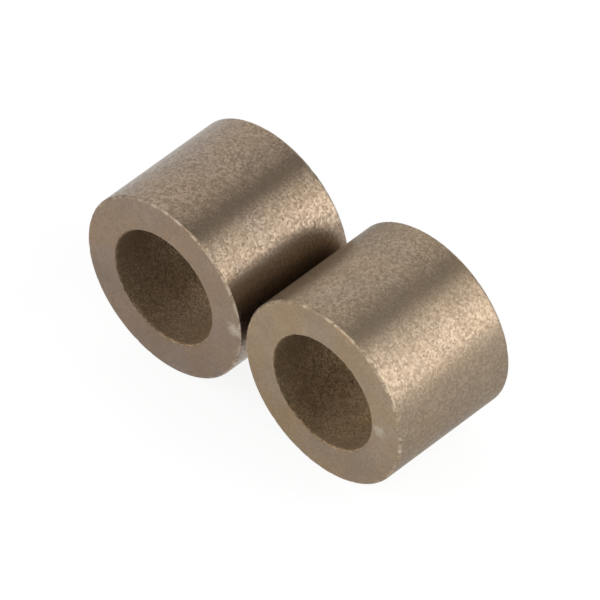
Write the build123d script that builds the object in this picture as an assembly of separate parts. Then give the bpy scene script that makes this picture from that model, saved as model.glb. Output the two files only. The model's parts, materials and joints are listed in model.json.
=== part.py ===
"""Two plain sleeve bushings of porous sintered bronze, lying side by side as a loose pair.

Frame, in millimetres: +Z up, the bores along Y with the front end faces towards -Y, and the pair side by side
along X. The origin is midway between the two, on the surface that they lie on.
"""

import os

from build123d import *

# Each bushing
bore_diameter = 10.0
outer_diameter = 16.0
bushing_length = 12.0
outer_edge_break = 0.15  # 45 degree chamfer round both ends of the outside, the lead into its housing
bore_edge_break = 0.1  # 45 degree chamfer round both mouths of the bore, the lead for its shaft

# How the two lie
neighbour_gap = 0.52  # free space between the two outsides at rest, enough for a sleeve with a 0.5 mm wall

same_radius = 0.001  # how closely an edge's radius has to match for it to be one of the rims asked for


def end_rims(sleeve, diameter):
    """The two circular edges of that diameter, one at each end of a sleeve that stands along Z."""
    rims = sleeve.edges().filter_by(GeomType.CIRCLE)
    return rims.filter_by(lambda rim: abs(rim.radius - diameter / 2) < same_radius)


def sleeve_bushing():
    """One bushing, standing along Z with its middle at the origin: a plain tube with its four rims broken."""
    sleeve = Cylinder(outer_diameter / 2, bushing_length) - Cylinder(bore_diameter / 2, bushing_length)
    sleeve = chamfer(end_rims(sleeve, outer_diameter), outer_edge_break)
    return chamfer(end_rims(sleeve, bore_diameter), bore_edge_break)


def lying_at(x):
    """One bushing laid on its side on the surface, with its bore along Y and its axis at that X."""
    return Pos(x, 0, outer_diameter / 2) * Rot(90, 0, 0) * sleeve_bushing()


axis_from_middle = (outer_diameter + neighbour_gap) / 2

nodes = {
    "left_bushing": lying_at(-axis_from_middle),
    "right_bushing": lying_at(axis_from_middle),
}

os.makedirs("parts", exist_ok=True)
for name, solid in nodes.items():
    export_step(solid, f"parts/{name}.step")
    print(name, "volume", round(solid.volume, 2), "mm3")
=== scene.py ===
"""Two loose sleeve bushings of sintered bronze, lying side by side on a white light table.

Each bushing is one closed mesh, swept round its bore by geometry nodes and roughened by its real grain. Its
outside, its bore and its end faces each have their own bronze finish, built from shared shader groups.
"""

import json
import logging
import math
from dataclasses import dataclass, field, replace
from enum import Enum
from typing import Any

import bpy
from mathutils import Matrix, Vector


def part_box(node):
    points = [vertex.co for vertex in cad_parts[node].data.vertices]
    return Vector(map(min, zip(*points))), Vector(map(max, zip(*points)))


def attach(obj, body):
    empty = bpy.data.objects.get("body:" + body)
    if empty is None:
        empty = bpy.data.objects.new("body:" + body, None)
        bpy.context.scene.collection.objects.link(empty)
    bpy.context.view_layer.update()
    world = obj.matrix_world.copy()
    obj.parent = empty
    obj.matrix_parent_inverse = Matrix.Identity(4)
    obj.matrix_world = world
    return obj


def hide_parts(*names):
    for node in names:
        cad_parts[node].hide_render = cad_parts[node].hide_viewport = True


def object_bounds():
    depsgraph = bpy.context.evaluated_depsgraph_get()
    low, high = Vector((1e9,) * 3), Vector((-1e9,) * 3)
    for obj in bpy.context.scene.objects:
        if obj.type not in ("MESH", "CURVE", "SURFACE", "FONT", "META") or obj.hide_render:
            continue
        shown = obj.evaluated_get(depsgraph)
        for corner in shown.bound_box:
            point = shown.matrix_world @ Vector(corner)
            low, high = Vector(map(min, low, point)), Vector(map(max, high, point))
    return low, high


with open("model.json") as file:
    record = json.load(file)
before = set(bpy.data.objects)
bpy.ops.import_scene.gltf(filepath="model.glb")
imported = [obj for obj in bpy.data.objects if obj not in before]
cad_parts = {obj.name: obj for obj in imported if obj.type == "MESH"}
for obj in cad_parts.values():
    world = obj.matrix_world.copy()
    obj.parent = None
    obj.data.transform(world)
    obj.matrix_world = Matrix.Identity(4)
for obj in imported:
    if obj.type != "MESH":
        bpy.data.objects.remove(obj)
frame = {"record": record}
CAD_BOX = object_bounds()

LOG = logging.getLogger("bushings")
MM = 0.001

Socket = bpy.types.NodeSocket
Colour = tuple[float, float, float]  # linear red, green and blue
Place = tuple[float, float, float]  # x, y and z, in metres where it is a point


class Side(Enum):
    """The two bushings of the pair, as the part names them."""

    LEFT = "left"
    RIGHT = "right"

    @property
    def node(self) -> str:
        """The name of this bushing's CAD node, which is its body's name too."""
        return f"{self.value}_bushing"


class Rim(Enum):
    """The two kinds of rim of a bushing, by the attribute that says how near a point is to one."""

    OUTER = "outer_rim"
    BORE = "bore_rim"


# ---------------------------------------------------------------------------------------------------------
# Node trees
# ---------------------------------------------------------------------------------------------------------


class NodeBench:
    """Lays nodes out in one node tree and wires them together."""

    def __init__(self, tree: bpy.types.NodeTree) -> None:
        """Starts on a tree.

        Args:
            tree: The shader or geometry tree that the nodes go into.
        """
        self.tree = tree

    def add(self, kind: str, inputs: dict[Any, Any] | None = None, **settings: Any) -> bpy.types.Node:
        """Adds one node.

        Args:
            kind: The node's type, such as ShaderNodeTexNoise.
            inputs: What goes into its inputs, by name or index: a socket to wire in, or a plain value.
            **settings: The node's own settings, such as operation.

        Returns:
            The new node.
        """
        node = self.tree.nodes.new(kind)
        for name, value in settings.items():
            setattr(node, name, value)
        for key, value in (inputs or {}).items():
            self.feed(node.inputs[key], value)
        return node

    def feed(self, target: Socket, value: Any) -> None:
        """Wires a socket into another, or sets its plain value.

        Args:
            target: The input that is fed.
            value: A socket to wire in, or a plain value.
        """
        if isinstance(value, bpy.types.NodeSocket):
            self.tree.links.new(value, target)
        else:
            target.default_value = value

    def math(self, operation: str, first: Any, second: Any = 0.0, clamp: bool = False) -> Socket:
        """One step of arithmetic.

        Args:
            operation: The Math node's operation.
            first: The first number or socket.
            second: The second number or socket, where the operation has one.
            clamp: Whether the result is kept from 0 to 1.

        Returns:
            The result.
        """
        node = self.add("ShaderNodeMath", {0: first, 1: second}, operation=operation, use_clamp=clamp)
        return node.outputs[0]

    def scaled(self, value: Any, factor: float, plus: float = 0.0) -> Socket:
        """A number scaled, then shifted.

        Args:
            value: The number or socket.
            factor: What it is multiplied by.
            plus: What is added afterwards.

        Returns:
            The result.
        """
        node = self.add("ShaderNodeMath", {0: value, 1: factor, 2: plus}, operation="MULTIPLY_ADD")
        return node.outputs[0]

    def vector(self, operation: str, first: Any, second: Any = (0.0, 0.0, 0.0)) -> bpy.types.Node:
        """One step of vector arithmetic, as a node, because its result can be a vector or a number.

        Args:
            operation: The Vector Math node's operation.
            first: The first vector or socket.
            second: The second vector or socket, where the operation has one.

        Returns:
            The Vector Math node.
        """
        return self.add("ShaderNodeVectorMath", {0: first, 1: second}, operation=operation)

    def ramp(self, value: Any, low: Any, high: Any, at_low: Any = 0.0, at_high: Any = 1.0) -> Socket:
        """A smooth step from one level to another.

        Args:
            value: What is measured.
            low: Where the step begins.
            high: Where the step ends.
            at_low: The level up to the step's beginning.
            at_high: The level past the step's end.

        Returns:
            The level.
        """
        inputs = {"Value": value, "From Min": low, "From Max": high, "To Min": at_low, "To Max": at_high}
        return self.add("ShaderNodeMapRange", inputs, interpolation_type="SMOOTHSTEP").outputs["Result"]

    def mix(self, share: Any, first: Any, second: Any, blend: str = "MIX") -> Socket:
        """A blend of two colours.

        Args:
            share: How much of the second there is.
            first: The first colour, as a socket or as red, green and blue.
            second: The second colour, likewise.
            blend: The way that they blend.

        Returns:
            The blended colour.
        """
        node = self.add("ShaderNodeMix", data_type="RGBA", blend_type=blend)
        share_in = next(s for s in node.inputs if s.name == "Factor" and s.enabled)
        first_in, second_in = (next(s for s in node.inputs if s.name == n and s.enabled) for n in "AB")
        self.feed(share_in, share)
        for target, colour in ((first_in, first), (second_in, second)):
            self.feed(target, colour if isinstance(colour, bpy.types.NodeSocket) else (*colour, 1.0))
        return next(s for s in node.outputs if s.enabled)

    def noise(self, where: Any, size: Any, detail: float = 2.0, seed: Any = 0.0) -> Socket:
        """Cloudy noise, from 0 to 1, of a given real size.

        Args:
            where: The position that it is read at, in metres.
            size: The size of its clouds, in metres, as a number or a socket.
            detail: How many finer layers it has.
            seed: Which of many patterns it is.

        Returns:
            The noise's level.
        """
        scale = self.math("DIVIDE", 1.0, size)
        inputs = {"Vector": where, "W": seed, "Scale": scale, "Detail": detail, "Roughness": 0.55}
        return self.add("ShaderNodeTexNoise", inputs, noise_dimensions="4D").outputs[0]


def new_group(name: str, kind: str, inputs: dict[str, tuple[str, Any]],
              outputs: dict[str, str]) -> bpy.types.NodeTree:
    """Starts a node group with named sockets.

    Args:
        name: The group's name.
        kind: GeometryNodeTree or ShaderNodeTree.
        inputs: Each input's socket type and its usual value, or None where it has none.
        outputs: Each output's socket type.

    Returns:
        The group, holding nothing but its input and output nodes.
    """
    tree = bpy.data.node_groups.new(name, kind)
    for label, (socket_type, usual) in inputs.items():
        socket = tree.interface.new_socket(label, in_out="INPUT", socket_type=socket_type)
        if usual is not None:
            socket.default_value = usual
    for label, socket_type in outputs.items():
        tree.interface.new_socket(label, in_out="OUTPUT", socket_type=socket_type)
    tree.nodes.new("NodeGroupInput")
    tree.nodes.new("NodeGroupOutput")
    return tree


def ends_of(tree: bpy.types.NodeTree) -> tuple[bpy.types.Node, bpy.types.Node]:
    """The group's input and output nodes.

    Args:
        tree: A group from new_group.

    Returns:
        The input node and the output node.
    """
    return tree.nodes["Group Input"], tree.nodes["Group Output"]


# ---------------------------------------------------------------------------------------------------------
# Shared effects
# ---------------------------------------------------------------------------------------------------------

FLOAT = "NodeSocketFloat"
VECTOR = "NodeSocketVector"
PACKING_STEP = (0.11, 0.07, 0.13)  # how far one step of seed moves a bushing in the packing, in metres
CORNERS = (0.34, 0.58)  # how far from a particle's middle its corners begin and are complete, in grain sizes
DOMES = (0.1, 0.7)  # how far from a particle's middle its dome begins to fall and is at the bottom, likewise
SHADE_SHARE = 0.75  # how much of the tone is the particle's own shade, the rest being fine noise
PORE_EDGE = 0.35  # the level of the fine noise under which a pore opens, where the pore share is nothing
PORE_REACH = 0.3  # how far the pore share lifts that level
PORE_SOFTNESS = 0.08
WEAR_EDGE = 0.7  # the level of the patches above which a rim is worn, where the share is nothing
WEAR_SOFTNESS = 0.17
RAGGEDNESS = 3.0 * MM  # how far the edge of the painted shading wanders
SCUFF_UNEVENNESS = 1.6  # how far a scuff's edge wanders, in its own radii


@dataclass
class SharedEffects:
    """The shader groups that every bronze finish is put together from, each built once."""

    groups: dict[str, bpy.types.NodeTree] = field(default_factory=dict)

    def place(self, bench: NodeBench, name: str, inputs: dict[str, Any]) -> bpy.types.Node:
        """Puts one effect into a material, building its group the first time.

        Args:
            bench: The material's node bench.
            name: The effect's name, which is the name of the method that builds it.
            inputs: The values of the group's inputs, by name.

        Returns:
            The group node.
        """
        if name not in self.groups:
            self.groups[name] = getattr(self, name)()
        node = bench.add("ShaderNodeGroup", node_tree=self.groups[name])
        for label, value in inputs.items():
            bench.feed(node.inputs[label], value)
        return node

    def sintered_grain(self) -> bpy.types.NodeTree:
        """Bronze particles fused side by side and pressed flat, with open pores where corners don't meet.

        Returns:
            The group: Tone is each particle's own shade, Pore the open pores, Height the surface's height.
        """
        inputs = {
            "Position": (VECTOR, None), "Grain Size": (FLOAT, 0.2 * MM), "Pore Share": (FLOAT, 0.3),
            "Seed": (FLOAT, 0.0)}
        outputs = {"Tone": FLOAT, "Pore": FLOAT, "Height": FLOAT}
        tree = new_group("sintered_grain", "ShaderNodeTree", inputs, outputs)
        start, end = ends_of(tree)
        bench = NodeBench(tree)
        where, size, seed = start.outputs["Position"], start.outputs["Grain Size"], start.outputs["Seed"]
        # Each bushing's particles come from a place of their own in one endless packing
        shift = bench.vector("SCALE", PACKING_STEP)
        bench.feed(shift.inputs["Scale"], seed)
        packed = bench.vector("ADD", where, shift.outputs[0]).outputs[0]
        cells = {"Vector": packed, "Scale": bench.math("DIVIDE", 1.0, size), "Smoothness": 0.5}
        particles = bench.add("ShaderNodeTexVoronoi", cells, voronoi_dimensions="3D", feature="SMOOTH_F1")
        from_middle = particles.outputs["Distance"]
        shade = bench.add("ShaderNodeSeparateXYZ", {0: particles.outputs["Color"]}).outputs[0]
        fine = bench.noise(where, bench.math("MULTIPLY", size, 0.8), 1.5, seed)
        # A pore opens at a corner between particles, where the fine noise is low too
        corner = bench.ramp(from_middle, *CORNERS)
        share = start.outputs["Pore Share"]
        open_below = bench.scaled(share, PORE_REACH, PORE_EDGE - PORE_SOFTNESS)
        shut_above = bench.scaled(share, PORE_REACH, PORE_EDGE + PORE_SOFTNESS)
        low = bench.ramp(fine, open_below, shut_above, 1.0, 0.0)
        pore = bench.math("MULTIPLY", corner, low)
        # Each particle is a low dome, and an open pore is at the bottom
        dome = bench.ramp(from_middle, *DOMES, 1.0, 0.0)
        crown = bench.math("ADD", bench.scaled(dome, 0.5), bench.scaled(fine, 0.5))
        height = bench.math("MULTIPLY", crown, bench.math("SUBTRACT", 1.0, pore))
        tone = bench.math("ADD", bench.scaled(shade, SHADE_SHARE), bench.scaled(fine, 1.0 - SHADE_SHARE))
        bench.feed(end.inputs["Tone"], tone)
        bench.feed(end.inputs["Pore"], pore)
        bench.feed(end.inputs["Height"], height)
        return tree

    def edge_wear(self) -> bpy.types.NodeTree:
        """Bright metal where handling has rubbed a rim, broken into short lengths.

        Returns:
            The group: Wear is how much of the rim's metal is bare.
        """
        inputs = {
            "Position": (VECTOR, None), "Nearness": (FLOAT, 0.0), "Patch Size": (FLOAT, 0.55 * MM),
            "Share": (FLOAT, 0.5), "Seed": (FLOAT, 0.0)}
        tree = new_group("edge_wear", "ShaderNodeTree", inputs, {"Wear": FLOAT})
        start, end = ends_of(tree)
        bench = NodeBench(tree)
        patches = bench.noise(
            start.outputs["Position"], start.outputs["Patch Size"], 3.0, start.outputs["Seed"])
        unworn = bench.math("SUBTRACT", 1.0, start.outputs["Share"])
        whole_below = bench.scaled(unworn, WEAR_EDGE)
        level = bench.ramp(patches, whole_below, bench.scaled(unworn, WEAR_EDGE, WEAR_SOFTNESS))
        bench.feed(end.inputs["Wear"], bench.math("MULTIPLY", level, start.outputs["Nearness"], clamp=True))
        return tree

    def oil_film(self) -> bpy.types.NodeTree:
        """Oil that has crept out of the pores and dried in soft blotches.

        Returns:
            The group: Film is how thick the oil lies, and Warmth where it is browner.
        """
        inputs = {"Position": (VECTOR, None), "Blotch Size": (FLOAT, 2.5 * MM), "Seed": (FLOAT, 0.0)}
        tree = new_group("oil_film", "ShaderNodeTree", inputs, {"Film": FLOAT, "Warmth": FLOAT})
        start, end = ends_of(tree)
        bench = NodeBench(tree)
        where, size, seed = (start.outputs[n] for n in ("Position", "Blotch Size", "Seed"))
        film = bench.noise(where, size, 3.0, seed)
        warmth = bench.noise(where, bench.math("MULTIPLY", size, 1.7), 2.0, bench.math("ADD", seed, 11.3))
        bench.feed(end.inputs["Film"], bench.ramp(film, 0.3, 0.7))
        bench.feed(end.inputs["Warmth"], bench.ramp(warmth, 0.32, 0.68))
        return tree

    def settled_oil(self) -> bpy.types.NodeTree:
        """Painted shade and light: a surface made darker towards one side and lighter towards the other, for
        how the light falls on it, with a ragged edge between.

        Returns:
            The group: Lit is 1 on the painted lighter side.
        """
        inputs = {
            "Position": (VECTOR, None), "Dry Way": (VECTOR, None), "Wet Level": (FLOAT, -5.0 * MM),
            "Dry Level": (FLOAT, 1.5 * MM)}
        tree = new_group("settled_oil", "ShaderNodeTree", inputs, {"Dry": FLOAT})
        start, end = ends_of(tree)
        bench = NodeBench(tree)
        where = start.outputs["Position"]
        level = bench.vector("DOT_PRODUCT", where, start.outputs["Dry Way"]).outputs["Value"]
        wander = bench.scaled(bench.noise(where, 1.5 * MM, 3.0), RAGGEDNESS, -0.5 * RAGGEDNESS)
        ragged = bench.math("ADD", level, wander)
        lit_share = bench.ramp(ragged, start.outputs["Wet Level"], start.outputs["Dry Level"])
        bench.feed(end.inputs["Dry"], lit_share)
        return tree

    def scuff(self) -> bpy.types.NodeTree:
        """One small rubbed spot with a soft, uneven edge.

        Returns:
            The group: Rub is 1 in the middle of the spot.
        """
        inputs = {"Position": (VECTOR, None), "Spot": (VECTOR, None), "Radius": (FLOAT, 0.4 * MM)}
        tree = new_group("scuff", "ShaderNodeTree", inputs, {"Rub": FLOAT})
        start, end = ends_of(tree)
        bench = NodeBench(tree)
        where, radius = start.outputs["Position"], start.outputs["Radius"]
        away = bench.vector("DISTANCE", where, start.outputs["Spot"]).outputs["Value"]
        wander = bench.noise(where, 0.4 * MM, 2.0)
        uneven = bench.math(
            "MULTIPLY", bench.scaled(wander, SCUFF_UNEVENNESS, -0.5 * SCUFF_UNEVENNESS), radius)
        reach = bench.math("ADD", away, uneven)
        bench.feed(end.inputs["Rub"], bench.ramp(reach, bench.scaled(radius, 0.25), radius, 1.0, 0.0))
        return tree

    def press_marks(self) -> bpy.types.NodeTree:
        """Faint lengthwise lines that the sizing die leaves as the bushing is pushed through it.

        Returns:
            The group: Mark is the lines' level, about a half on average.
        """
        inputs = {
            "Position": (VECTOR, None), "Line Width": (FLOAT, 0.12 * MM), "Stretch": (FLOAT, 14.0),
            "Seed": (FLOAT, 0.0)}
        tree = new_group("press_marks", "ShaderNodeTree", inputs, {"Mark": FLOAT})
        start, end = ends_of(tree)
        bench = NodeBench(tree)
        along = bench.math("DIVIDE", 1.0, start.outputs["Stretch"])
        squeeze = bench.add("ShaderNodeCombineXYZ", {"X": 1.0, "Y": along, "Z": 1.0})
        where = bench.vector("MULTIPLY", start.outputs["Position"], squeeze.outputs[0])
        lines = bench.noise(where.outputs[0], start.outputs["Line Width"], 2.0, start.outputs["Seed"])
        bench.feed(end.inputs["Mark"], lines)
        return tree


# ---------------------------------------------------------------------------------------------------------
# Finishes
# ---------------------------------------------------------------------------------------------------------

TONES = (0.15, 0.85)  # the grain's tones for its darkest and its palest particles
WEAR_COVER = 0.8  # how far wear takes the colour to bare metal
WEAR_FILL = 0.7  # how far wear closes the pores
TONE_SMOOTHING = 0.1  # how much smoother the palest particle is than the darkest
PORE_ROUGHENING = 0.1  # how much rougher an open pore is
PORE_DULLING = 0.12  # how much less metallic an open pore is
MARK_HEIGHT = 1.5  # how high the press marks stand, against the grain
BORE_WEAR = 0.7  # how much a bore rim is worn, against an outer rim
COOL_SHADE = (0.96, 0.99, 1.06)
WARM_SHADE = (1.05, 1.0, 0.9)
SCUFFED = (0.5, 0.435, 0.355)


@dataclass(frozen=True)
class Scuff:
    """One small spot on a front end that has been rubbed bright. Lengths are in metres."""

    place: Place  # from the bushing's centre
    radius: float
    strength: float


@dataclass(frozen=True)
class BronzeFinish:
    """One surface of a bushing: sintered bronze, as the press and the oil have left it, with painted shade
    and light across it.

    Colours are linear red, green and blue, and lengths are in metres.
    """

    name: str
    flat: Colour  # particles pressed flat
    deep: Colour  # particles that lie lower
    pore: Colour  # open pores, dark with oil
    bare: Colour  # metal rubbed bright along a rim
    oil: Colour  # where the oil film is thick
    grain_size: float
    pore_share: float
    bump: float  # how high the grain stands
    roughness: float
    rim_wear: float
    oil_share: float
    mark_share: float = 0.0
    rim_roughening: float = 0.3
    dry_way: Place = (0.0, 0.0, 1.0)  # towards the lighter side of the painted shading
    # painted shade and painted light: the colour's factors on the darker and the lighter side of the painted
    # shading
    painted_shade: Colour = (1.0, 1.0, 1.0)
    painted_light: Colour = (1.0, 1.0, 1.0)
    blotching: float = 0.4
    grazing_shade: Colour = (1.0, 1.0, 1.0)  # the metal's tint where it is seen at a shallow angle

    def material(
            self, effects: SharedEffects, centre: Vector, seed: float,
            scuffs: tuple[Scuff, ...] = ()) -> bpy.types.Material:
        """Makes the finish's material for one bushing.

        Args:
            effects: The shared shader groups.
            centre: The bushing's centre, where its pattern is centred.
            seed: Which of many patterns this bushing has.
            scuffs: The rubbed spots.

        Returns:
            The material.
        """
        made = bpy.data.materials.new(self.name)
        made.use_nodes = True
        made.node_tree.nodes.clear()
        bench = NodeBench(made.node_tree)
        spot = bench.add("ShaderNodeTexCoord").outputs["Object"]
        centred = bench.add("ShaderNodeMapping", {"Vector": spot, "Location": -centre}).outputs[0]
        common = {"Position": centred, "Seed": seed}
        packing = {**common, "Grain Size": self.grain_size, "Pore Share": self.pore_share}
        grain = effects.place(bench, "sintered_grain", packing)
        wear = self.rim_mask(bench, effects, common)
        pore = bench.math("MULTIPLY", grain.outputs["Pore"], bench.scaled(wear, -WEAR_FILL, 1.0))
        colour = self.stained(bench, effects, common, grain.outputs["Tone"], pore, wear)
        for scuff in scuffs:
            rubbed = effects.place(
                bench, "scuff", {"Position": centred, "Spot": scuff.place, "Radius": scuff.radius})
            colour = bench.mix(bench.scaled(rubbed.outputs["Rub"], scuff.strength), colour, SCUFFED)
        marks = effects.place(bench, "press_marks", common).outputs["Mark"]
        lines = bench.scaled(marks, self.mark_share, -0.5 * self.mark_share)
        height = bench.math("ADD", grain.outputs["Height"], bench.scaled(lines, MARK_HEIGHT))
        bump = bench.add("ShaderNodeBump", {"Height": height, "Distance": self.bump, "Strength": 1.0})
        skin = bench.add("ShaderNodeBsdfPrincipled", {
            "Base Color": colour,
            "Roughness": self.roughened(bench, grain.outputs["Tone"], pore, lines),
            "Metallic": bench.scaled(pore, -PORE_DULLING, 1.0),
            "Normal": bump.outputs["Normal"],
            "Specular Tint": (*self.grazing_shade, 1.0)})
        bench.add("ShaderNodeOutputMaterial", {"Surface": skin.outputs[0]})
        return made

    def stained(
            self, bench: NodeBench, effects: SharedEffects, common: dict[str, Any], tone: Socket,
            pore: Socket, wear: Socket) -> Socket:
        """The metal's colour, with its worn rims and open pores and all that the oil has left on it, and
        painted shade and light across it.

        Args:
            bench: The material's node bench.
            effects: The shared shader groups.
            common: The position and the seed, which every effect takes.
            tone: Each particle's own shade.
            pore: Where a pore is open.
            wear: Where a rim is rubbed bright.

        Returns:
            The colour.
        """
        film = effects.place(bench, "oil_film", common)
        colour = bench.mix(bench.ramp(tone, *TONES), self.deep, self.flat)
        colour = bench.mix(bench.scaled(film.outputs["Film"], self.oil_share), colour, self.oil)
        colour = bench.mix(bench.scaled(wear, WEAR_COVER), colour, self.bare)
        colour = bench.mix(pore, colour, self.pore)
        # Painted shade and light: darker towards one side and lighter towards the other, for how the light
        # falls
        shading_slope = {"Position": common["Position"], "Dry Way": self.dry_way}
        lit_share = effects.place(bench, "settled_oil", shading_slope).outputs["Dry"]
        colour = bench.mix(1.0, colour, bench.mix(lit_share, self.painted_shade, self.painted_light), "MULTIPLY")
        warmth = bench.mix(film.outputs["Warmth"], COOL_SHADE, WARM_SHADE)
        return bench.mix(self.blotching, colour, bench.mix(1.0, colour, warmth, "MULTIPLY"))

    def roughened(self, bench: NodeBench, tone: Socket, pore: Socket, lines: Socket) -> Socket:
        """The surface's roughness.

        Args:
            bench: The material's node bench.
            tone: Each particle's own shade.
            pore: Where a pore is open.
            lines: The press marks, above and below nothing.

        Returns:
            The roughness, from 0 to 1.
        """
        rough = bench.math("ADD", self.roughness, lines)
        rough = bench.math("ADD", rough, bench.scaled(tone, -TONE_SMOOTHING, 0.5 * TONE_SMOOTHING))
        rough = bench.math("ADD", rough, bench.scaled(pore, PORE_ROUGHENING))
        return bench.math(
            "ADD", rough, bench.scaled(self.rim_place(bench), self.rim_roughening), clamp=True)

    def rim_place(self, bench: NodeBench) -> Socket:
        """How near this spot is to either rim.

        Args:
            bench: The material's node bench.

        Returns:
            1 on a rim, falling to 0 away from it.
        """
        near = [bench.add("ShaderNodeAttribute", attribute_name=rim.value).outputs["Fac"] for rim in Rim]
        return bench.math("MAXIMUM", near[0], near[1])

    def rim_mask(self, bench: NodeBench, effects: SharedEffects, common: dict[str, Any]) -> Socket:
        """Where the rims near this surface are rubbed bright.

        Args:
            bench: The material's node bench.
            effects: The shared shader groups.
            common: The position and the seed, which every effect takes.

        Returns:
            How much of the metal is bare, from 0 to 1.
        """
        worn = []
        for rim, share in ((Rim.OUTER, self.rim_wear), (Rim.BORE, BORE_WEAR * self.rim_wear)):
            near = bench.add("ShaderNodeAttribute", attribute_name=rim.value).outputs["Fac"]
            rubbed = effects.place(bench, "edge_wear", {**common, "Nearness": near, "Share": share})
            worn.append(rubbed.outputs["Wear"])
        return bench.math("MAXIMUM", worn[0], worn[1])


OUTSIDE_FINISH = BronzeFinish(
    name="bronze_outside", flat=(0.36, 0.282, 0.205), deep=(0.25, 0.191, 0.134), pore=(0.2, 0.152, 0.105),
    bare=(0.45, 0.373, 0.29), oil=(0.25, 0.19, 0.13), grain_size=0.22 * MM, pore_share=0.35, bump=0.003 * MM,
    roughness=0.35, rim_wear=0.37, oil_share=0.35, mark_share=0.05, rim_roughening=0.1)
END_FINISH = BronzeFinish(
    name="bronze_end", flat=(0.285, 0.221, 0.162), deep=(0.255, 0.195, 0.141), pore=(0.2, 0.152, 0.108),
    bare=(0.39, 0.32, 0.25), oil=(0.225, 0.17, 0.118), grain_size=0.2 * MM, pore_share=0.1, bump=0.001 * MM,
    # painted shade: the end faces darker towards the bottom and lighter towards the top, for how the light
    # falls on them
    roughness=0.46, rim_wear=0.37, oil_share=0.7, rim_roughening=0.1, painted_shade=(0.885, 0.875, 0.885),
    painted_light=(1.03, 1.03, 1.02), blotching=1.0)
BORE_FINISH = BronzeFinish(
    name="bronze_bore", flat=(0.435, 0.343, 0.236), deep=(0.293, 0.224, 0.148), pore=(0.196, 0.148, 0.095),
    bare=(0.36, 0.285, 0.205), oil=(0.235, 0.176, 0.114), grain_size=0.19 * MM, pore_share=0.5,
    # painted shade and light: the bore darker towards -x and over twice as bright towards +x, for how the
    # light reaches into it
    bump=0.014 * MM, roughness=0.6, rim_wear=0.45, oil_share=0.4, dry_way=(1.0, 0.0, 0.0),
    painted_shade=(0.71, 0.68, 0.63), painted_light=(1.64, 1.61, 1.56))


@dataclass(frozen=True)
class BushingTint:
    """How one bushing's bronze differs from the other's, as two bushings of one batch do, and the painted
    shade at a shallow angle on the right one.
    """

    seed: float
    shade: Colour
    end_shade: Colour
    grazing_shade: Colour  # of the outside: painted shade that dims its reflections seen at a shallow angle, where its lower flank mirrors the table beside it
    roughening: float = 0.0  # of the outside, beyond its usual roughness
    evenness: float = 0.0  # how far the outside's darker tones close up on the flat metal's
    scuffs: tuple[Scuff, ...] = ()  # on the front end

    def of(self, finish: BronzeFinish, side: Side) -> BronzeFinish:
        """A finish in this bushing's shade.

        Args:
            finish: The finish that both bushings share.
            side: Which bushing it is for.

        Returns:
            The shaded finish, with the bushing in its name.
        """
        shaded: dict[str, Any] = {
            part: self.toned(finish, part) for part in ("flat", "deep", "pore", "bare", "oil")}
        if finish is OUTSIDE_FINISH:
            shaded |= {"grazing_shade": self.grazing_shade, "roughness": finish.roughness + self.roughening}
        return replace(finish, name=f"{finish.name}_{side.value}", **shaded)

    def toned(self, finish: BronzeFinish, part: str) -> Colour:
        """One colour of a finish in this bushing's shade.

        Args:
            finish: The finish that both bushings share.
            part: The colour's name in the finish.

        Returns:
            The shaded colour.
        """
        shade = self.end_shade if finish is END_FINISH else self.shade
        even = self.evenness if finish is OUTSIDE_FINISH and part in ("deep", "pore") else 0.0
        levels = zip(getattr(finish, part), finish.flat, shade)
        return tuple((level + (flat - level) * even) * tint for level, flat, tint in levels)


TINTS = {
    Side.LEFT: BushingTint(
        seed=3.7, shade=(0.89, 0.878, 0.893), end_shade=(0.99, 0.955, 0.975), grazing_shade=(1.0, 1.0, 1.0),
        roughening=-0.03,
        scuffs=(Scuff(place=(7.3 * MM, -6.0 * MM, 0.5 * MM), radius=0.8 * MM, strength=0.65),)),
    # The right bushing's grazing shade is painted shade: it dims its lower flank's reflection of the table
    # beside it.
    Side.RIGHT: BushingTint(
        seed=8.2, shade=(0.975, 0.965, 0.945), end_shade=(1.16, 1.125, 1.03), grazing_shade=(0.65, 0.65, 0.65),
        roughening=0.012, evenness=0.15,
        scuffs=(
            Scuff(place=(5.8 * MM, -6.0 * MM, -0.05 * MM), radius=0.75 * MM, strength=0.5),
            Scuff(place=(7.87 * MM, -5.93 * MM, -0.85 * MM), radius=0.26 * MM, strength=1.0))),
}

# ---------------------------------------------------------------------------------------------------------
# The bushings
# ---------------------------------------------------------------------------------------------------------


@dataclass(frozen=True)
class SleeveSizes:
    """The real sizes of one bushing, in metres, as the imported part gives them."""

    outer_radius: float
    bore_radius: float
    length: float
    outer_break: float
    bore_break: float
    centre: Vector

    @classmethod
    def of(cls, side: Side) -> "SleeveSizes":
        """Reads one bushing's sizes from its node's box and its mounts.

        Args:
            side: Which bushing.

        Returns:
            Its sizes.
        """
        low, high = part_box(side.node)
        mounts = {mount["name"]: mount["dims"] for mount in frame["record"]["mounts"]}
        bore, outside = mounts[f"{side.value}_bore"], mounts[f"{side.value}_outside"]
        length = high.y - low.y
        return cls(
            outer_radius=outside["r_mm"] * MM,
            bore_radius=bore["r_mm"] * MM,
            length=length,
            outer_break=(length - outside["length_mm"] * MM) / 2,
            bore_break=(length - bore["length_mm"] * MM) / 2,
            centre=(low + high) / 2)


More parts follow.
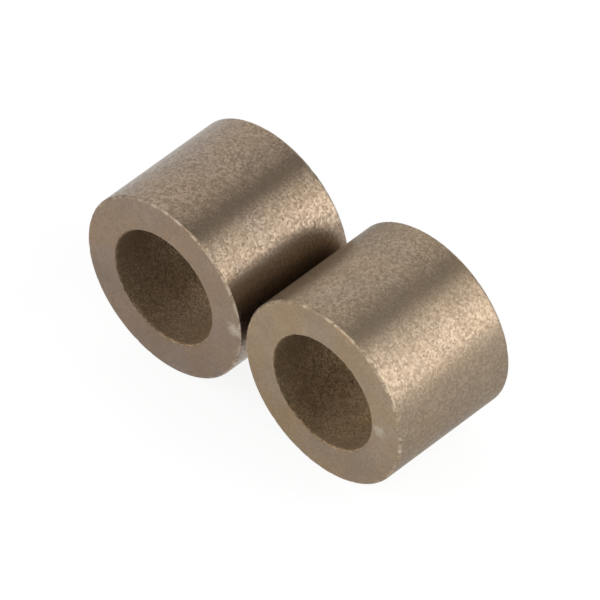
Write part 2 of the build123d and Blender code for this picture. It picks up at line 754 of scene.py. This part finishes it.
@dataclass
class SleeveTree:
    """The geometry nodes that sweep a bushing's section round its bore and roughen it."""

    edge_rounding: float = 0.07 * MM  # radius at both sides of each edge break
    rounding_steps: int = 3
    mesh_step: float = 0.13 * MM
    steps_round: int = 384
    end_reach: float = 0.035 * MM  # how far below the true length a point still counts as end face
    calm_from: float = 0.04 * MM  # how far below the true length the metal begins to be calmer
    calm_to: float = 0.01 * MM  # how far below it the metal is as calm as an end face
    end_calm: float = 0.75  # how much of the grain and the pits the press has flattened there
    grain_size: float = 0.34 * MM
    grain_depth: float = 0.005 * MM
    wave_size: float = 5.0 * MM
    wave_depth: float = 0.01 * MM
    pit_spacing: float = 1.1 * MM
    pit_radius: float = 0.2 * MM
    pit_depth: float = 0.014 * MM
    pit_luck: float = 0.5  # the share of the cells that have no pit
    nick_size: float = 0.6 * MM
    nick_depth: float = 0.07 * MM
    nick_from: float = 0.56  # the noise's level where a nick begins
    nick_full: float = 0.8  # the noise's level where it is as deep as nicks go
    rim_width: float = 0.2 * MM
    tree: bpy.types.NodeTree | None = None

    def build(self) -> bpy.types.NodeTree:
        """Builds the tree once.

        Returns:
            The geometry tree.
        """
        if self.tree is None:
            sizes = ("Outer Radius", "Bore Radius", "Length", "Outer Break", "Bore Break")
            inputs = {name: (FLOAT, MM) for name in sizes}
            inputs |= {"Centre": (VECTOR, None), "Seed": (FLOAT, 0.0)}
            inputs |= {f"{name} Finish": ("NodeSocketMaterial", None) for name in ("Outside", "Bore", "End")}
            outputs = {"Sleeve": "NodeSocketGeometry"}
            self.tree = new_group("turned_sleeve", "GeometryNodeTree", inputs, outputs)
            self.fill(NodeBench(self.tree))
        return self.tree

    def fill(self, bench: NodeBench) -> None:
        """Lays out the whole tree, from the section to the finished sleeve.

        Args:
            bench: The tree's node bench.
        """
        start, end = ends_of(bench.tree)
        given = start.outputs
        section = self.section(bench, given)
        middle = bench.scaled(bench.math("ADD", given["Outer Radius"], given["Bore Radius"]), 0.5)
        ring = {"Resolution": self.steps_round, "Radius": middle}
        path = bench.add("GeometryNodeCurvePrimitiveCircle", ring).outputs[0]
        shape = bench.add("GeometryNodeCurveToMesh", {"Curve": path, "Profile Curve": section}).outputs[0]
        across, height = self.section_place(bench)
        near = {rim: self.nearness(bench, across, height, given, rim) for rim in Rim}
        for rim, level in near.items():
            stored = bench.add(
                "GeometryNodeStoreNamedAttribute", {"Geometry": shape, "Name": rim.value, "Value": level},
                data_type="FLOAT", domain="POINT")
            shape = stored.outputs[0]
        half = bench.scaled(given["Length"], 0.5)
        on_end = bench.ramp(
            height, bench.math("SUBTRACT", half, self.calm_from), bench.math("SUBTRACT", half, self.calm_to))
        depth = self.depth(bench, given["Seed"], near[Rim.OUTER], near[Rim.BORE], on_end)
        normal = bench.add("GeometryNodeInputNormal").outputs[0]
        sunk = bench.vector("SCALE", normal)
        bench.feed(sunk.inputs["Scale"], bench.scaled(depth, -1.0))
        for kind, inputs in (
                ("GeometryNodeSetPosition", {"Offset": sunk.outputs[0]}),
                ("GeometryNodeSetShadeSmooth", {"Shade Smooth": True}),
                ("GeometryNodeRealizeInstances", {})):
            shape = bench.add(kind, {"Geometry": shape, **inputs}).outputs[0]
        is_end = bench.math("GREATER_THAN", height, bench.math("SUBTRACT", half, self.end_reach))
        in_bore = bench.math("LESS_THAN", across, middle)
        for name, chosen in (("Outside", None), ("Bore", in_bore), ("End", is_end)):
            inputs = {"Geometry": shape, "Material": given[f"{name} Finish"]}
            if chosen is not None:
                inputs["Selection"] = chosen
            shape = bench.add("GeometryNodeSetMaterial", inputs).outputs[0]
        laid = bench.add("GeometryNodeTransform", {"Geometry": shape, "Translation": given["Centre"]})
        laid.inputs["Rotation"].default_value = (math.radians(90), 0.0, 0.0)
        bench.feed(end.inputs["Sleeve"], laid.outputs[0])

    def section(self, bench: NodeBench, given: Any) -> Socket:
        """The wall's section: a rectangle with its corners broken, rounded off and cut into even steps.

        Args:
            bench: The tree's node bench.
            given: The tree's inputs.

        Returns:
            The section's curve.
        """
        wall = bench.math("SUBTRACT", given["Outer Radius"], given["Bore Radius"])
        sides = {"Width": wall, "Height": given["Length"]}
        outline = bench.add("GeometryNodeCurvePrimitiveQuadrilateral", sides).outputs[0]
        spot = bench.add("GeometryNodeInputPosition").outputs[0]
        sideways = bench.add("ShaderNodeSeparateXYZ", {0: spot}).outputs["X"]
        outwards = bench.math("GREATER_THAN", sideways, 0.0)
        corner = bench.ramp(outwards, 0.0, 1.0, given["Bore Break"], given["Outer Break"])
        broken = bench.add(
            "GeometryNodeFilletCurve", {"Curve": outline, "Count": 1, "Radius": corner}, mode="POLY")
        rounding = {
            "Curve": broken.outputs[0], "Count": self.rounding_steps, "Radius": self.edge_rounding,
            "Limit Radius": True}
        rounded = bench.add("GeometryNodeFilletCurve", rounding, mode="POLY").outputs[0]
        following = bench.add("GeometryNodeOffsetPointInCurve", {"Offset": 1}).outputs["Point Index"]
        next_spot = bench.add("GeometryNodeFieldAtIndex", data_type="FLOAT_VECTOR", domain="POINT")
        bench.feed(next_spot.inputs["Index"], following)
        bench.feed(next_spot.inputs["Value"], spot)
        run = bench.vector("DISTANCE", spot, next_spot.outputs[0]).outputs["Value"]
        cuts = bench.math("FLOOR", bench.math("DIVIDE", run, self.mesh_step))
        return bench.add("GeometryNodeSubdivideCurve", {"Curve": rounded, "Cuts": cuts}).outputs[0]

    def section_place(self, bench: NodeBench) -> tuple[Socket, Socket]:
        """Where a point lies in the section.

        Args:
            bench: The tree's node bench.

        Returns:
            Its distance from the axis, and its height above or below mid length.
        """
        spot = bench.add("ShaderNodeSeparateXYZ", {0: bench.add("GeometryNodeInputPosition").outputs[0]})
        flat = bench.add("ShaderNodeCombineXYZ", {"X": spot.outputs["X"], "Y": spot.outputs["Y"]})
        across = bench.vector("LENGTH", flat.outputs[0]).outputs["Value"]
        return across, bench.math("ABSOLUTE", spot.outputs["Z"])

    def nearness(self, bench: NodeBench, across: Socket, height: Socket, given: Any, rim: Rim) -> Socket:
        """How near a point is to the middle of a rim's edge break.

        Args:
            bench: The tree's node bench.
            across: The point's distance from the axis.
            height: The point's height above or below mid length.
            given: The tree's inputs.
            rim: Which kind of rim it is.

        Returns:
            1 on the rim, falling to 0 at the rim's width from it.
        """
        outer = rim is Rim.OUTER
        radius, corner = (given[f"{'Outer' if outer else 'Bore'} {size}"] for size in ("Radius", "Break"))
        inset = bench.scaled(corner, 0.5)
        middle = bench.math("SUBTRACT" if outer else "ADD", radius, inset)
        top = bench.math("SUBTRACT", bench.scaled(given["Length"], 0.5), inset)
        gap = bench.add("ShaderNodeCombineXYZ", {
            "X": bench.math("SUBTRACT", across, middle), "Y": bench.math("SUBTRACT", height, top)})
        away = bench.vector("LENGTH", gap.outputs[0]).outputs["Value"]
        return bench.ramp(away, 0.35 * self.rim_width, self.rim_width, 1.0, 0.0)

    def depth(self, bench: NodeBench, seed: Socket, outer: Socket, bore: Socket, on_end: Socket) -> Socket:
        """How far the surface lies below the true size: grain, waves, pits and nicked rims, all inwards.

        Args:
            bench: The tree's node bench.
            seed: The bushing's seed.
            outer: Nearness to an outer rim.
            bore: Nearness to a bore rim.
            on_end: 1 on an end face, where the press leaves the metal smoother.

        Returns:
            The depth in metres.
        """
        spot = bench.add("GeometryNodeInputPosition").outputs[0]
        grain = bench.scaled(bench.noise(spot, self.grain_size, 2.0, seed), self.grain_depth)
        wave = bench.scaled(bench.noise(spot, self.wave_size, 1.0, seed), self.wave_depth)
        spread = {"Vector": spot, "W": seed, "Scale": 1.0 / self.pit_spacing}
        cells = bench.add("ShaderNodeTexVoronoi", spread, voronoi_dimensions="4D", feature="F1")
        lot = bench.add("ShaderNodeSeparateXYZ", {0: cells.outputs["Color"]}).outputs[0]
        # A cell with no pit still needs a radius a little over nothing
        reach = bench.scaled(bench.ramp(lot, self.pit_luck, 1.0), self.pit_radius / self.pit_spacing, 0.0001)
        hollow = bench.ramp(cells.outputs["Distance"], 0.0, reach, 1.0, 0.0)
        sunk = bench.scaled(bench.ramp(lot, self.pit_luck, 0.8), self.pit_depth)
        pit = bench.math("MULTIPLY", hollow, sunk)
        rims = bench.math("MAXIMUM", outer, bore)
        dent = bench.ramp(bench.noise(spot, self.nick_size, 2.0, seed), self.nick_from, self.nick_full)
        nick = bench.scaled(bench.math("MULTIPLY", rims, dent), self.nick_depth)
        calm = bench.scaled(on_end, -self.end_calm, 1.0)
        rough = bench.math("MULTIPLY", bench.math("ADD", grain, pit), calm)
        return bench.math("ADD", bench.math("ADD", rough, wave), nick)


@dataclass
class Bushing:
    """One bushing: a turned sleeve that stands for its CAD node and rides on its body."""

    side: Side
    effects: SharedEffects
    sleeve: SleeveTree

    def build(self) -> bpy.types.Object:
        """Builds, dresses and mounts the bushing.

        Returns:
            The finished piece.
        """
        sizes, tint = SleeveSizes.of(self.side), TINTS[self.side]
        finishes = {"Outside Finish": OUTSIDE_FINISH, "Bore Finish": BORE_FINISH, "End Finish": END_FINISH}
        values: dict[str, Any] = {
            name: tint.of(finish, self.side).material(
                self.effects, sizes.centre, tint.seed, () if finish is BORE_FINISH else tint.scuffs)
            for name, finish in finishes.items()}
        values |= {
            "Outer Radius": sizes.outer_radius, "Bore Radius": sizes.bore_radius, "Length": sizes.length,
            "Outer Break": sizes.outer_break, "Bore Break": sizes.bore_break, "Centre": sizes.centre,
            "Seed": tint.seed}
        piece = self.grown(values)
        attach(piece, self.side.node)
        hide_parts(self.side.node)
        return piece

    def grown(self, values: dict[str, Any]) -> bpy.types.Object:
        """Runs the sleeve tree and keeps its result as a plain mesh.

        Args:
            values: The tree's inputs, by name.

        Returns:
            The piece, with no modifier.
        """
        name = f"{self.side.value}_sleeve"
        piece = bpy.data.objects.new(name, bpy.data.meshes.new(f"{name}_blank"))
        bpy.context.scene.collection.objects.link(piece)
        tree = self.sleeve.build()
        grower = piece.modifiers.new("turned_sleeve", "NODES")
        grower.node_group = tree
        for socket in tree.interface.items_tree:
            if socket.in_out == "INPUT":
                grower[socket.identifier] = values[socket.name]
        graph = bpy.context.evaluated_depsgraph_get()
        mesh = bpy.data.meshes.new_from_object(
            piece.evaluated_get(graph), preserve_all_data_layers=True, depsgraph=graph)
        mesh.name = name
        piece.modifiers.clear()
        piece.data = mesh
        return piece


# ---------------------------------------------------------------------------------------------------------
# The studio
# ---------------------------------------------------------------------------------------------------------


def hang(name: str, data: Any, target: Vector, azimuth: float, elevation: float,
         distance: float) -> bpy.types.Object:
    """Places a lamp or a camera at two angles from a point, facing it.

    Args:
        name: The object's name.
        data: Its light or its camera.
        target: The point that it faces.
        azimuth: Degrees round from the front, where 90 is at the right.
        elevation: Degrees up from level.
        distance: How far it is from the point, in metres.

    Returns:
        The object.
    """
    turn, rise = math.radians(azimuth), math.radians(elevation)
    out = Vector((math.sin(turn) * math.cos(rise), -math.cos(turn) * math.cos(rise), math.sin(rise)))
    hung = bpy.data.objects.new(name, data)
    bpy.context.scene.collection.objects.link(hung)
    hung.location = target + out * distance
    hung.rotation_euler = (-out).to_track_quat("-Z", "Y").to_euler()
    return hung


@dataclass
class LightTable:
    """The white table that the pair lies on. It glows, so the pair throws hardly any shadow on it."""

    width: float = 3.0
    surface: Colour = (0.15, 0.15, 0.15)
    glow: float = 0.875

    def build(self) -> bpy.types.Object:
        """Lays the table at the height that the bushings rest at.

        Returns:
            The table.
        """
        half, level = self.width / 2, CAD_BOX[0].z
        corners = [(x, y, level) for x, y in ((-half, -half), (half, -half), (half, half), (-half, half))]
        mesh = bpy.data.meshes.new("light_table")
        mesh.from_pydata(corners, [], [(0, 1, 2, 3)])
        table = bpy.data.objects.new("light_table", mesh)
        bpy.context.scene.collection.objects.link(table)
        finish = bpy.data.materials.new("table_white")
        finish.use_nodes = True
        skin = finish.node_tree.nodes["Principled BSDF"]
        skin.inputs["Base Color"].default_value = (*self.surface, 1.0)
        skin.inputs["Roughness"].default_value = 1.0
        skin.inputs["Specular IOR Level"].default_value = 0.0
        skin.inputs["Emission Color"].default_value = (1.0, 1.0, 1.0, 1.0)
        skin.inputs["Emission Strength"].default_value = self.glow
        mesh.materials.append(finish)
        return table


@dataclass(frozen=True)
class Softbox:
    """One soft light, aimed at the pair. Angles are in degrees, sizes and distances in metres."""

    name: str
    azimuth: float
    elevation: float
    width: float
    height: float
    radiance: float  # the brightness of its face
    distance: float = 0.5

    def build(self, target: Vector) -> bpy.types.Object:
        """Hangs the light.

        Args:
            target: The point that it faces.

        Returns:
            The light.
        """
        light = bpy.data.lights.new(self.name, "AREA")
        light.shape = "RECTANGLE"
        light.size, light.size_y = self.width, self.height
        light.energy = self.radiance * math.pi * self.width * self.height
        return hang(self.name, light, target, self.azimuth, self.elevation, self.distance)


@dataclass
class Studio:
    """Softboxes round the pair in a dim grey room, with a dark gap overhead, and the camera."""

    softboxes: tuple[Softbox, ...] = (
        Softbox("right_softbox", azimuth=97.0, elevation=19.5, width=0.77, height=0.32, radiance=3.3),
        Softbox("right_top_softbox", azimuth=120.0, elevation=50.0, width=0.2, height=0.2, radiance=4.2),
        Softbox("left_softbox", azimuth=225.0, elevation=33.0, width=0.77, height=0.62, radiance=1.1),
        Softbox("front_softbox", azimuth=-10.0, elevation=30.0, width=1.4, height=0.5, radiance=1.6),
    )
    room_grey: float = 0.12
    camera_azimuth: float = 43.52
    camera_elevation: float = 43.8
    camera_distance: float = 1.0043
    lens: float = 800.0  # millimetres, on the usual 36 mm sensor
    aim: Vector = field(default_factory=lambda: Vector((0.258 * MM, 0.0, 8.211 * MM)))

    def build(self) -> list[bpy.types.Object]:
        """Hangs the lights, greys the room and sets the camera up.

        Returns:
            The lights and the camera.
        """
        hung = [softbox.build(self.aim) for softbox in self.softboxes]
        room = bpy.data.worlds.new("room")
        room.use_nodes = True
        backdrop = room.node_tree.nodes["Background"]
        backdrop.inputs["Color"].default_value = (self.room_grey,) * 3 + (1.0,)
        bpy.context.scene.world = room
        bpy.context.scene.view_settings.view_transform = "Standard"
        return [*hung, self.camera()]

    def camera(self) -> bpy.types.Object:
        """Sets the camera up, looking down at the pair from the front right.

        Returns:
            The camera.
        """
        lens = bpy.data.cameras.new("camera")
        lens.lens = self.lens
        camera = hang(
            "camera", lens, self.aim, self.camera_azimuth, self.camera_elevation, self.camera_distance)
        bpy.context.scene.camera = camera
        return camera


def main() -> None:
    """Builds the pair of bushings and the studio round it, and reports each piece."""
    logging.basicConfig(level=logging.INFO, format="%(name)s: %(message)s")
    effects, sleeve = SharedEffects(), SleeveTree()
    for side in Side:
        piece = Bushing(side, effects, sleeve).build()
        LOG.info("%s: %d points, %d faces", piece.name, len(piece.data.vertices), len(piece.data.polygons))
    for fixture in (LightTable().build(), *Studio().build()):
        LOG.info("%s: part of the studio", fixture.name)


if __name__ == "__main__":
    main()
